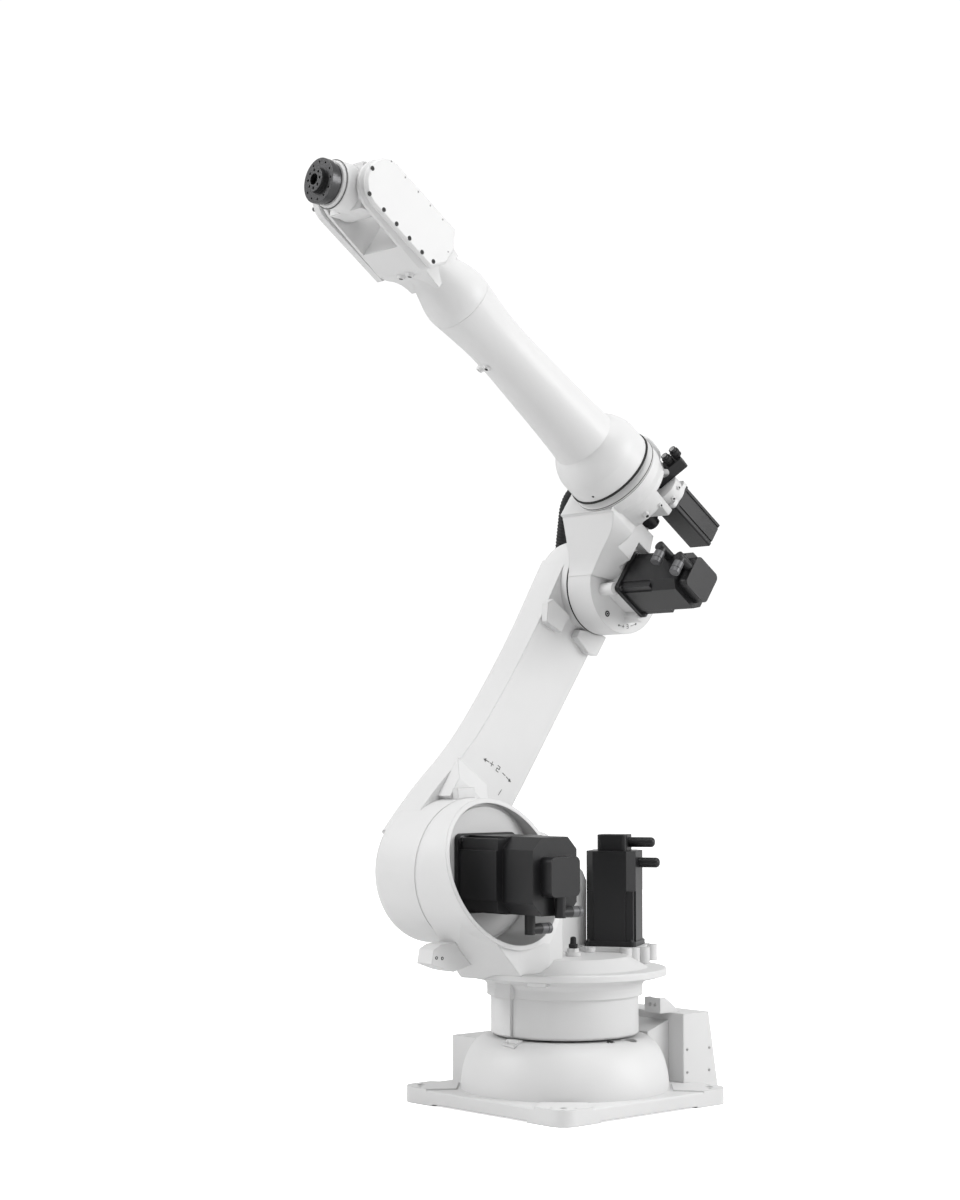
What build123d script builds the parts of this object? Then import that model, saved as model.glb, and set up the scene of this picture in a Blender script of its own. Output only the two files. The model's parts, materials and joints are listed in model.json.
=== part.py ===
from build123d import *
import os
from math import acos, atan2, cos, degrees, hypot, pi, radians, sin, tan

# Six-axis industrial robot arm, in millimetres.
# The origin is on the underside of the base plate, on the axis of joint 1.
# +X points forward over the tool, +Z is up, and the axes of joints 2, 3 and 5 run along Y.

# Link geometry
shoulder_x = 220.0
shoulder_z = 534.0
lower_arm_length = 828.0
lower_arm_lean = 35.0
elbow_rise = 168.0
forearm_tilt = 35.0
forearm_length = 1180.0
hand_tilt = 4.0
hand_length = 134.0

# Gaps between turning castings, and between a part and its seat
joint_gap = 5.0
seat_gap = 0.3

# Base plate, with four feet, raised corner pads and jack holes beside the floor bolts
plate_half = 270.0
plate_corner_r = 38.0
plate_thickness = 34.0
foot_drop = 4.0
foot_span = 114.0
pad_rise = 3.0
pad_reach = 132.0
pad_waist = 92.0
pad_shoulder = 58.0
bolt_half_spacing = 235.0
bolt_hole_r = 9.0
jack_hole_r = 4.0
jack_offset = 19.0

# Dome under the column, side block and rear web
dome_r = 241.0
dome_neck_r = 178.0
dome_top_z = 155.0
side_block_half = 126.0
side_block_reach = 249.0
side_block_top = 142.0
web_half = 95.0
web_top_z = 177.0
notch_r = 18.0
notch_x = -34.0
notch_y = 172.0
notch_floor_z = 118.0

# Connector box behind the plate
box_front_x = -250.0
box_back_x = -370.0
box_slope = 32.0
box_side_y = 142.0
box_top_z = 194.0
box_low_z = 11.0
panel_width = 200.0
panel_height = 120.0
panel_thickness = 4.0
bracket_height = 36.0
bracket_sheet = 5.0

# Turning column and turntable
column_r = 171.0
skirt_r = 180.0
skirt_z = 250.0
skirt_height = 20.0
disc_r = 236.0
disc_z = 291.0
disc_height = 20.0
dais_r = 192.0
dais_slope = 46.0
dais_top_z = 337.0

# Shoulder housing, a drum open towards +Y with a slanted rim
drum_r = 157.0
drum_wall = 11.0
drum_back_y = -78.0
drum_floor_y = -45.0
rim_y = 33.0
rim_slope = 0.385
inner_plate_r = 150.0
inner_plate_height = 8.0
foot_back_x = 30.0
foot_wall_y = 86.0
rear_web_width = 20.0

# Lower arm
hub_r = 168.0
hub_round = 45.0
beam_inner_y = -150.0
beam_outer_y = -250.0
beam_front = 104.0
beam_back = 76.0
beam_round = 22.0
boss_round = 34.0
elbow_hub_r = 118.0
elbow_seam_y = -130.0
stop_height = 20.0

# Elbow casting
elbow_hub_width = 78.0
pad_height = 43.0
body_r = 105.0
ring_r = 112.0
ring_x = 213.0
ring_height = 26.0
casting_front_y = 46.0
gear_housing_r = 42.0

# Forearm
flange_r = 108.0
flange_width = 49.0
shoulder_fall = 60.0
tube_rear_r = 80.0
tube_taper_r = 74.0
tube_mid_r = 68.5
waist_r = 66.0
bell_r = 76.0
wrist_casting = 356.0
neck_r = 57.0

# Wrist
fork_half_width = 80.0
fork_half_height = 70.0
fork_gap_half = 58.0
fork_chamfer = 13.0
fork_r = 62.0
fork_flare = 170.0
pocket_depth = 112.0
pocket_round = 24.0
cover_thickness = 10.0
far_cover_thickness = 24.0
cover_half_height = 61.0
cover_r = 66.0
cover_rear = 222.0
hand_half_width = fork_gap_half - joint_gap
hand_r = 54.0
trunnion_r = 34.0
j6_x = 84.0
j6_ring_width = 8.0
tool_r = 50.0
tool_disc_width = 13.0
tool_neck_r = 45.0
tool_hub_r = 28.0
tool_hub_width = 13.0
tool_bore_r = 12.5
tool_bore_depth = 30.0
tool_bolt_pcd = 40.0
tool_bolt_r = 3.0
rim_hole_r = 2.5

# Motors: flange side, body side, length to the encoder cap, cap side and cap length
j2_flange = 180.0
j2_body = 172.0
j2_body_length = 232.0
j2_cap = 88.0
j2_cap_length = 34.0
j1_flange = 124.0
j1_body = 119.0
j1_body_length = 224.0
j1_cap = 72.0
j1_cap_length = 38.0
j3_flange = 120.0
j3_body = 110.0
j3_body_length = 182.0
j3_cap = 84.0
j3_cap_length = 28.0
j4_flange = 72.0
j4_body = 67.0
j4_body_length = 143.0
flange_thickness = 12.0
plug_r = 12.0
j1_motor_x = -188.0
j1_motor_y = -20.0
j1_motor_turn = 32.0
j1_pad = 146.0
j4_motor_y = 68.0
j4_motor_rise = 27.0
j4_motor_x = 88.0

# Hose on the -Y side of the elbow
hose_r = 16.0
hose_y = -286.0
hose_end_y = -96.0

# Places worked out from the links
lean = radians(lower_arm_lean)
tilt = radians(forearm_tilt)
elbow_x = shoulder_x - lower_arm_length * sin(lean)
elbow_z = shoulder_z + lower_arm_length * cos(lean)
axis4_x = elbow_x - elbow_rise * sin(tilt)
axis4_z = elbow_z + elbow_rise * cos(tilt)
wrist_x = axis4_x + forearm_length * cos(tilt)
wrist_z = axis4_z + forearm_length * sin(tilt)
hand = radians(hand_tilt)


def side(y):
    """Plane parallel to XZ at y, whose normal points to -Y."""
    return Plane(origin=(0, y, 0), x_dir=(1, 0, 0), z_dir=(0, -1, 0))


def arm_plane(y):
    """Plane at y with its origin on joint 2 and local x running up the lower arm."""
    return Plane(origin=(shoulder_x, y, shoulder_z), x_dir=(-sin(lean), 0, cos(lean)), z_dir=(0, -1, 0))


def forearm_plane(y):
    """Plane at y with its origin where joint 3 stands under axis 4, local x along the forearm."""
    return Plane(origin=(axis4_x, y, axis4_z), x_dir=(cos(tilt), 0, sin(tilt)), z_dir=(0, -1, 0))


def hand_plane(y):
    """Plane at y with its origin on joint 5 and local x along axis 6."""
    return Plane(origin=(wrist_x, y, wrist_z), x_dir=(cos(hand), 0, sin(hand)), z_dir=(0, -1, 0))


def along_forearm(x, y=0.0, rise=0.0):
    """Point at x along axis 4, y across it and rise above it."""
    return (axis4_x + x * cos(tilt) - rise * sin(tilt), y, axis4_z + x * sin(tilt) + rise * cos(tilt))


def along_hand(x, y=0.0, rise=0.0):
    """Point at x along axis 6 from joint 5."""
    return (wrist_x + x * cos(hand) - rise * sin(hand), y, wrist_z + x * sin(hand) + rise * cos(hand))


def across_forearm(x):
    """Plane square to axis 4 at x, with local x along Y and local y as the rise."""
    return Plane(origin=along_forearm(x), x_dir=(0, 1, 0), z_dir=(cos(tilt), 0, sin(tilt)))


def across_hand(x):
    """Plane square to axis 6 at x."""
    return Plane(origin=along_hand(x), x_dir=(0, 1, 0), z_dir=(cos(hand), 0, sin(hand)))


forearm_axis = Axis(along_forearm(0), (cos(tilt), 0, sin(tilt)))

# Dome of the base, also cut out of what stands on it
with BuildPart() as dome:
    with BuildSketch(Plane.XZ):
        with BuildLine():
            Line((0, plate_thickness), (dome_r, plate_thickness))
            EllipticalCenterArc(
                (dome_neck_r, plate_thickness), dome_r - dome_neck_r, dome_top_z - plate_thickness,
                arc_size=90)
            Line((dome_neck_r, dome_top_z), (0, dome_top_z))
            Line((0, dome_top_z), (0, plate_thickness))
        make_face()
    revolve(axis=Axis.Z)

# Base casting: plate on four feet, dome, a block on the -Y side and a web to the rear
jack_r = hypot(bolt_half_spacing + jack_offset, bolt_half_spacing - jack_offset)
jack_angle = degrees(atan2(bolt_half_spacing - jack_offset, bolt_half_spacing + jack_offset))
with BuildPart() as base_casting:
    with BuildSketch(Plane.XY.offset(foot_drop)):
        RectangleRounded(2 * plate_half, 2 * plate_half, plate_corner_r)
    extrude(amount=plate_thickness - foot_drop)
    chamfer(base_casting.faces().sort_by(Axis.Z)[-1].edges(), length=pad_rise)
    with BuildSketch(Plane.XY):
        RectangleRounded(2 * plate_half, 2 * plate_half, plate_corner_r)
        Rectangle(2 * plate_half, 2 * (plate_half - foot_span), mode=Mode.SUBTRACT)
        Rectangle(2 * (plate_half - foot_span), 2 * plate_half, mode=Mode.SUBTRACT)
    extrude(amount=foot_drop)
    with BuildSketch(Plane.XY.offset(plate_thickness - pad_rise)):
        with PolarLocations(0, 4):
            Polygon(
                (plate_half, plate_half), (plate_half - pad_waist, plate_half),
                (plate_half - pad_reach, plate_half - pad_shoulder),
                (plate_half - pad_shoulder, plate_half - pad_reach),
                (plate_half, plate_half - pad_waist), align=None)
        RectangleRounded(2 * plate_half, 2 * plate_half, plate_corner_r, mode=Mode.INTERSECT)
    extrude(amount=2 * pad_rise)
    add(dome.part)
    with BuildSketch(Plane.XY.offset(plate_thickness)):
        with Locations((0, -side_block_reach)):
            Rectangle(2 * side_block_half, side_block_reach, align=(Align.CENTER, Align.MIN))
    extrude(amount=side_block_top - plate_thickness)
    with BuildSketch(side(web_half)):
        Polygon(
            (-dome_neck_r, plate_thickness), (box_front_x, plate_thickness), (box_front_x, web_top_z),
            (-dome_neck_r, dome_top_z), align=None)
    extrude(amount=2 * web_half)
    with BuildSketch(Plane.XY.offset(notch_floor_z)):
        with Locations((notch_x, notch_y)):
            Circle(notch_r)
    extrude(amount=dome_top_z - notch_floor_z, mode=Mode.SUBTRACT)
    with BuildSketch(Plane.XY):
        with GridLocations(2 * bolt_half_spacing, 2 * bolt_half_spacing, 2, 2):
            Circle(bolt_hole_r)
        with PolarLocations(jack_r, 4, start_angle=jack_angle):
            Circle(jack_hole_r)
        with PolarLocations(jack_r, 4, start_angle=90 - jack_angle):
            Circle(jack_hole_r)
    extrude(amount=plate_thickness + pad_rise, mode=Mode.SUBTRACT)
base_casting.part.label = "base_casting"

# Connector box behind the plate, with a sloped back that carries the connector panel
with BuildPart() as connector_box:
    with BuildSketch(side(box_side_y)):
        Polygon(
            (box_front_x, plate_thickness), (box_front_x, box_top_z), (box_back_x + box_slope, box_top_z),
            (box_back_x, box_low_z), (-plate_half - seat_gap, box_low_z),
            (-plate_half - seat_gap, plate_thickness), align=None)
    extrude(amount=2 * box_side_y)
    fillet(connector_box.edges().filter_by(Axis.Z).sort_by(Axis.X)[-2:], radius=pad_rise)
connector_box.part.label = "connector_box"

box_height = box_top_z - box_low_z
panel_plane = Plane(
    origin=(box_back_x + box_slope / 2, 0, (box_top_z + box_low_z) / 2), x_dir=(0, 1, 0),
    z_dir=(-box_height, 0, box_slope))
with BuildPart() as connector_panel:
    with BuildSketch(panel_plane):
        RectangleRounded(panel_width, panel_height, 2 * panel_thickness)
    extrude(amount=panel_thickness)
connector_panel.part.label = "connector_panel"

# Sheet bracket on the connector box that leads the cables to the column
bracket_front_x = box_front_x + 34
bracket_back_x = box_front_x - 34
bracket_low_y = 50.0
bracket_high_y = 100.0
with BuildPart() as cable_bracket:
    with BuildSketch(side(bracket_high_y)):
        Rectangle(1, 1)
        Polygon(
            (bracket_front_x, box_top_z), (bracket_front_x, box_top_z + bracket_height),
            (bracket_front_x - bracket_height / 2, box_top_z + bracket_height),
            (bracket_back_x, box_top_z), align=None, mode=Mode.REPLACE)
    extrude(amount=bracket_high_y - bracket_low_y)
    with BuildSketch(side(bracket_high_y - bracket_sheet)):
        Polygon(
            (bracket_front_x - bracket_sheet, box_top_z + bracket_sheet),
            (bracket_front_x - bracket_sheet, box_top_z + 2 * bracket_height),
            (bracket_back_x - bracket_height, box_top_z + 2 * bracket_height),
            (bracket_back_x - bracket_height, box_top_z + bracket_sheet), align=None)
    extrude(amount=bracket_high_y - bracket_low_y - 2 * bracket_sheet, mode=Mode.SUBTRACT)
cable_bracket.part.label = "cable_bracket"

# Stepped block on the dome that marks the zero position of the column
zero_front = dome_neck_r + 24
with BuildPart() as zero_block:
    with BuildSketch(side(44)):
        Polygon(
            (column_r + joint_gap, dome_top_z - 24), (column_r + joint_gap, dome_top_z + joint_gap),
            (dome_neck_r + 10, dome_top_z + joint_gap), (dome_neck_r + 14, dome_top_z - 2),
            (zero_front, dome_top_z - 4), (zero_front, dome_top_z - 24), align=None)
    extrude(amount=40)
    add(dome.part, mode=Mode.SUBTRACT)
zero_block.part.label = "zero_block"

# Bearing flange of joint 1 in the gap under the column
with BuildPart() as j1_reducer:
    with BuildSketch(Plane.XY.offset(dome_top_z)):
        Circle(column_r - 30)
    extrude(amount=joint_gap - seat_gap)
j1_reducer.part.label = "j1_reducer"

column_bottom = dome_top_z + joint_gap
disc_top = disc_z + disc_height

# Dais on the disc, also cut out of what stands on it
with BuildPart() as dais:
    with BuildSketch(Plane.XZ):
        with BuildLine():
            Polyline(
                (0, disc_top), (dais_r, disc_top), (dais_r - dais_slope, dais_top_z), (0, dais_top_z),
                close=True)
        make_face()
    revolve(axis=Axis.Z)

# Turntable casting: column, skirt, flare, disc and raised dais
edge = 4.0
pointer_angle = -2.0
with BuildPart() as turntable:
    with BuildSketch(Plane.XZ):
        with BuildLine():
            Line((0, column_bottom), (column_r - edge, column_bottom))
            Line((column_r - edge, column_bottom), (column_r, column_bottom + edge))
            Line((column_r, column_bottom + edge), (column_r, skirt_z))
            Line((column_r, skirt_z), (skirt_r, skirt_z))
            Line((skirt_r, skirt_z), (skirt_r, skirt_z + skirt_height))
            Spline(
                (skirt_r, skirt_z + skirt_height), (disc_r - 14, disc_z),
                tangents=((0.2, 1), (1, 0.25)))
            Line((disc_r - 14, disc_z), (disc_r, disc_z + edge))
            Line((disc_r, disc_z + edge), (disc_r, disc_top - edge))
            RadiusArc((disc_r, disc_top - edge), (disc_r - edge, disc_top), -edge)
            Line((disc_r - edge, disc_top), (0, disc_top))
            Line((0, disc_top), (0, column_bottom))
        make_face()
    revolve(axis=Axis.Z)
    add(dais.part)
    with BuildSketch(Plane.XY.offset(skirt_z)):
        with PolarLocations(skirt_r, 1, start_angle=pointer_angle):
            Rectangle(22, 52)
    extrude(amount=skirt_height + 16)
    with BuildSketch(Plane.XY.offset(disc_z - 6)):
        with PolarLocations(disc_r - 20, 1, start_angle=30):
            Rectangle(34, 44)
    extrude(amount=16)
turntable.part.label = "turntable"

# Pointer strip that hangs from the skirt in front of the column
pointer_width = 24.0
with BuildPart() as pointer_strip:
    with BuildSketch(Plane.XY.offset(dome_top_z + 2 * joint_gap)):
        with PolarLocations(column_r, 1, start_angle=pointer_angle):
            Rectangle(14, pointer_width)
        Circle(column_r, mode=Mode.SUBTRACT)
    extrude(amount=skirt_z - dome_top_z - 2 * joint_gap)
pointer_strip.part.label = "pointer_strip"

# Shoulder housing: a drum on a foot, cut by the slanted rim plane, with a web to the rear
toe_z = disc_z + 5
front_cut = Plane(
    origin=(disc_r - 12, foot_wall_y - 2, disc_top), x_dir=(0.26, -1, 0), z_dir=(0.707, 0.183, -0.683))
with BuildPart() as shoulder_housing:
    with BuildSketch(side(2 * foot_wall_y)):
        Polygon(
            (foot_back_x, toe_z), (foot_back_x, shoulder_z), (shoulder_x, shoulder_z),
            (shoulder_x + 0.864 * drum_r, shoulder_z - 0.632 * drum_r), (disc_r + 18, toe_z), align=None)
    extrude(amount=2 * foot_wall_y - drum_back_y)
    split(bisect_by=front_cut, keep=Keep.BOTTOM)
    with BuildSketch(Plane.XY.offset(toe_z)):
        Polygon(
            (foot_back_x, drum_back_y), (foot_back_x, 0.3 * foot_wall_y),
            (foot_back_x + 23, 0.52 * foot_wall_y), (foot_back_x + 44, 0.8 * foot_wall_y),
            (foot_back_x + 109, foot_wall_y + 8),
            (disc_r - 8, foot_wall_y), (shoulder_x + 2 * drum_r, foot_wall_y),
            (shoulder_x + 2 * drum_r, drum_back_y), align=None)
    extrude(amount=shoulder_z, mode=Mode.INTERSECT)
    with BuildSketch(side(2 * foot_wall_y)):
        with Locations((shoulder_x, shoulder_z)):
            Circle(drum_r + drum_wall)
    extrude(amount=2 * foot_wall_y - drum_back_y)
    with BuildSketch(side(drum_back_y + rear_web_width)):
        Polygon(
            (shoulder_x - 120, shoulder_z + 112), (shoulder_x - 217, shoulder_z + 82),
            (shoulder_x - 246, shoulder_z + 66), (shoulder_x - 338, shoulder_z - 10),
            (shoulder_x - 350, shoulder_z - 32), (shoulder_x - 350, disc_top),
            (shoulder_x - 140, disc_top), align=None)
    extrude(amount=rear_web_width)
    add(turntable.part, mode=Mode.SUBTRACT)
    with BuildSketch(side(2 * foot_wall_y)):
        with Locations((shoulder_x, shoulder_z)):
            Circle(drum_r)
    extrude(amount=2 * foot_wall_y - drum_floor_y, mode=Mode.SUBTRACT)
    with BuildSketch(Plane.YZ.offset(-2 * disc_r)):
        Polygon(
            (rim_y + rim_slope * shoulder_z, 0), (rim_y - rim_slope * shoulder_z, 2 * shoulder_z),
            (shoulder_z, 2 * shoulder_z), (shoulder_z, 0), align=None)
    extrude(amount=4 * disc_r, mode=Mode.SUBTRACT)
shoulder_housing.part.label = "shoulder_housing"

# Plate at the back of the drum that carries the joint 2 motor
with BuildPart() as shoulder_plate:
    with BuildSketch(side(drum_floor_y + inner_plate_height)):
        with Locations((shoulder_x, shoulder_z)):
            Circle(inner_plate_r)
    extrude(amount=inner_plate_height)
    chamfer(shoulder_plate.faces().sort_by(Axis.Y)[-1].edges(), length=2)
shoulder_plate.part.label = "shoulder_plate"

# Stop bumper in front of the foot
with BuildPart() as stop_bumper:
    with BuildSketch(side(-24)):
        Polygon(
            (shoulder_x + 162, shoulder_z - 165), (shoulder_x + 168, shoulder_z - 197),
            (shoulder_x + 125, shoulder_z - 212), (shoulder_x + 103, shoulder_z - 217),
            (shoulder_x + 30, shoulder_z - 200), (shoulder_x + 60, shoulder_z - 150),
            (shoulder_x + 140, shoulder_z - 155), align=None)
    extrude(amount=50)
    add(shoulder_housing.part, mode=Mode.SUBTRACT)
stop_bumper.part.label = "stop_bumper"

# Cable gland on the dais behind the foot
with BuildPart() as cable_gland:
    with BuildSketch(Plane.XY.offset(dais_top_z)):
        with Locations((foot_back_x - 25, 34)):
            Circle(18)
    extrude(amount=10)
    with BuildSketch(Plane.XY.offset(dais_top_z + 10)):
        with Locations((foot_back_x - 25, 34)):
            RegularPolygon(14, 6)
    extrude(amount=8)
cable_gland.part.label = "cable_gland"


def servo_motor(plane, flange, body, length, cap, cap_length, rear_width=1.0):
    """Servo motor on its flange and its encoder cap; plane is the seat, its normal points to the cap."""
    front = 0.58 * length
    with BuildPart() as motor:
        with BuildSketch(plane):
            RectangleRounded(flange, flange, 0.09 * flange)
        extrude(amount=flange_thickness)
        with BuildSketch(plane.offset(flange_thickness)):
            Rectangle(body, body)
            with GridLocations(body, body, 2, 2):
                Rectangle(0.36 * body, 0.36 * body, mode=Mode.SUBTRACT)
            with GridLocations(0.78 * body, 0.78 * body, 2, 2):
                Rectangle(0.16 * body, 0.16 * body)
        extrude(amount=front - flange_thickness)
        with BuildSketch(plane.offset(front)) as rear:
            Rectangle(rear_width * body, body)
            chamfer(rear.vertices(), length=0.16 * body)
        extrude(amount=length - front)
    with BuildPart() as encoder:
        with BuildSketch(plane.offset(length)):
            RectangleRounded(cap, cap, 0.16 * cap)
        extrude(amount=cap_length)
    return motor.part, encoder.part


def motor_plugs(starts, out, turn, rise, reach):
    """Pair of round plugs that leave a motor along out, then bend to turn."""
    with BuildPart() as plugs:
        for start in starts:
            with BuildSketch(Plane(origin=start, z_dir=out)):
                Circle(plug_r)
            extrude(amount=rise)
            corner = Vector(start) + (rise - plug_r) * Vector(out)
            with BuildSketch(Plane(origin=corner, z_dir=turn)):
                Circle(plug_r)
            extrude(amount=reach)
    return plugs.part


j2_seat = Plane(
    origin=(shoulder_x, drum_floor_y + inner_plate_height, shoulder_z), x_dir=(1, 0, 0), z_dir=(0, 1, 0))
j2_motor, j2_encoder = servo_motor(j2_seat, j2_flange, j2_body, j2_body_length, j2_cap, j2_cap_length, 0.78)
j2_motor.label = "j2_motor"
j2_encoder.label = "j2_encoder"
j2_plug_y = drum_floor_y + inner_plate_height + j2_body_length
j2_motor_plugs = motor_plugs(
    [(shoulder_x, j2_plug_y + j2_cap_length / 2, shoulder_z - j2_cap / 2),
     (shoulder_x, j2_plug_y - 80, shoulder_z - j2_body / 2)], (0, 0, -1), (-1, 0, 0), 46, 50)
j2_motor_plugs.label = "j2_motor_plugs"

# Gear housing under the joint 1 motor, with a boss at each corner
j1_pad_top = dais_top_z + 12
j1_turned = Plane(
    origin=(j1_motor_x, j1_motor_y, disc_top),
    x_dir=(cos(radians(j1_motor_turn)), sin(radians(j1_motor_turn)), 0),
    z_dir=(0, 0, 1))
with BuildPart() as j1_motor_mount:
    with BuildSketch(j1_turned):
        RectangleRounded(j1_pad, j1_pad, 16)
        with GridLocations(j1_pad + 12, 0.6 * j1_pad, 2, 2):
            Circle(14)
        with GridLocations(0.6 * j1_pad, j1_pad + 12, 2, 2):
            Circle(14)
    extrude(amount=j1_pad_top - disc_top)
    add(dais.part, mode=Mode.SUBTRACT)
    add(shoulder_housing.part, mode=Mode.SUBTRACT)
j1_motor_mount.part.label = "j1_motor_mount"

j1_seat = Plane(origin=(j1_motor_x, j1_motor_y, j1_pad_top), x_dir=j1_turned.x_dir, z_dir=(0, 0, 1))
j1_motor, j1_encoder = servo_motor(j1_seat, j1_flange, j1_body, j1_body_length, j1_cap, j1_cap_length)
j1_motor.label = "j1_motor"
j1_encoder.label = "j1_encoder"
j1_out = Vector(-sin(radians(j1_motor_turn)), cos(radians(j1_motor_turn)), 0)
j1_axis = Vector(j1_motor_x, j1_motor_y, j1_pad_top)
with BuildPart() as j1_motor_plugs:
    cap_plug = j1_axis + Vector(0, 0, j1_body_length + j1_cap_length - 18) + j1_out * j1_cap / 2
    with BuildSketch(Plane(origin=cap_plug, z_dir=j1_out)):
        Circle(plug_r)
    extrude(amount=62)
    body_plug = j1_axis + Vector(0, 0, j1_body_length - 28) + j1_out * j1_body / 2
    with BuildSketch(Plane(origin=body_plug, z_dir=j1_out)):
        Circle(plug_r)
    extrude(amount=50)
    fillet(j1_motor_plugs.edges().filter_by(GeomType.CIRCLE).sort_by(Axis.Y)[-2:], radius=plug_r - 3)
j1_motor_plugs.part.label = "j1_motor_plugs"

# Output flange of joint 2 in the gap beside the drum
with BuildPart() as j2_reducer:
    with BuildSketch(side(drum_back_y)):
        with Locations((shoulder_x, shoulder_z)):
            Circle(hub_r - 40)
    extrude(amount=joint_gap - seat_gap)
j2_reducer.part.label = "j2_reducer"



def turned_disc(x, z, radius, inner_y, outer_y, rounding):
    """Disc about an axis along Y from inner_y down to outer_y, with a rounded outer edge."""
    slant = rounding * (1 - sin(radians(45)))
    with BuildPart() as disc:
        with BuildSketch(Plane(origin=(x, 0, z), x_dir=(1, 0, 0), z_dir=(0, 0, 1))):
            with BuildLine():
                Polyline(
                    (radius, outer_y + rounding), (radius, inner_y), (0, inner_y), (0, outer_y),
                    (radius - rounding, outer_y))
                ThreePointArc(
                    (radius - rounding, outer_y), (radius - slant, outer_y + slant),
                    (radius, outer_y + rounding))
            make_face()
        revolve(axis=Axis((x, 0, z), (0, 1, 0)))
    return disc.part


# Lower arm: a wide hub at joint 2, a flat beam and a round boss at joint 3
hub_inner_y = drum_back_y - joint_gap
tab_width = 24.0
with BuildPart() as lower_arm_casting:
    with BuildSketch(arm_plane(beam_inner_y)):
        with BuildLine():
            Spline(
                (0, -hub_r + 4), (0.18 * lower_arm_length, -1.36 * beam_front),
                (0.32 * lower_arm_length, -1.12 * beam_front), (0.5 * lower_arm_length, -beam_front),
                (0.74 * lower_arm_length, -beam_front), (lower_arm_length, -elbow_hub_r),
                tangents=((1, 0.1), (1, -0.06)))
            Polyline(
                (lower_arm_length, -elbow_hub_r), (lower_arm_length, beam_back),
                (hub_r, beam_back), (0, hub_r / 2), (0, -hub_r + 4))
        make_face()
    extrude(amount=beam_inner_y - beam_outer_y)
    beam_edges = lower_arm_casting.faces().sort_by(Axis.Y)[0].edges().sort_by(SortBy.LENGTH)[-2:]
    fillet(beam_edges, radius=beam_round)
    add(turned_disc(elbow_x, elbow_z, elbow_hub_r, elbow_seam_y, beam_outer_y, boss_round))
    add(turned_disc(shoulder_x, shoulder_z, hub_r, hub_inner_y, beam_outer_y, hub_round))
    with BuildSketch(Plane(
            origin=(shoulder_x, 0, shoulder_z), x_dir=(-sin(lean), 0, cos(lean)),
            z_dir=(cos(lean), 0, sin(lean))).offset(20)):
        Polygon(
            (hub_r - 50, tab_width - hub_inner_y), (hub_r, tab_width - hub_inner_y),
            (hub_r + 58, -beam_inner_y),
            (hub_r - 50, -beam_inner_y), align=None)
    extrude(amount=112)
lower_arm_casting.part.label = "lower_arm_casting"

# Tab on the hub that meets the stop of joint 2
with BuildPart() as shoulder_stop_tab:
    with BuildSketch(arm_plane(hub_inner_y - joint_gap)):
        with Locations((0.84 * hub_r, -0.64 * hub_r)):
            Rectangle(28, 52, rotation=-37.5)
    extrude(amount=tab_width - joint_gap)
    add(lower_arm_casting.part, mode=Mode.SUBTRACT)
shoulder_stop_tab.part.label = "shoulder_stop_tab"

# Stop blocks on the beam under the elbow
with BuildPart() as stop_blocks:
    with BuildSketch(arm_plane(beam_inner_y + stop_height)):
        Polygon(
            (lower_arm_length - 180, -98), (lower_arm_length - 140, -121), (lower_arm_length - 122, -112),
            (lower_arm_length - 122, -44), (lower_arm_length - 172, -44), align=None)
        Polygon(
            (lower_arm_length - 150, 4), (lower_arm_length - 158, 60),
            (lower_arm_length - 146, beam_back + 10),
            (lower_arm_length - 90, beam_back + 10), (lower_arm_length - 96, 60),
            (lower_arm_length - 128, 4), align=None)
        with Locations((lower_arm_length, 0)):
            Circle(elbow_hub_r, mode=Mode.SUBTRACT)
    extrude(amount=stop_height)
stop_blocks.part.label = "stop_blocks"

# Output flange of joint 3
with BuildPart() as j3_reducer:
    with BuildSketch(arm_plane(elbow_seam_y + joint_gap - seat_gap)):
        with Locations((lower_arm_length, 0)):
            Circle(elbow_hub_r - 30)
    extrude(amount=joint_gap - seat_gap)
j3_reducer.part.label = "j3_reducer"

elbow_inner_y = elbow_seam_y + joint_gap
elbow_outer_y = elbow_inner_y + elbow_hub_width
motor3_y = elbow_outer_y + pad_height

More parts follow.
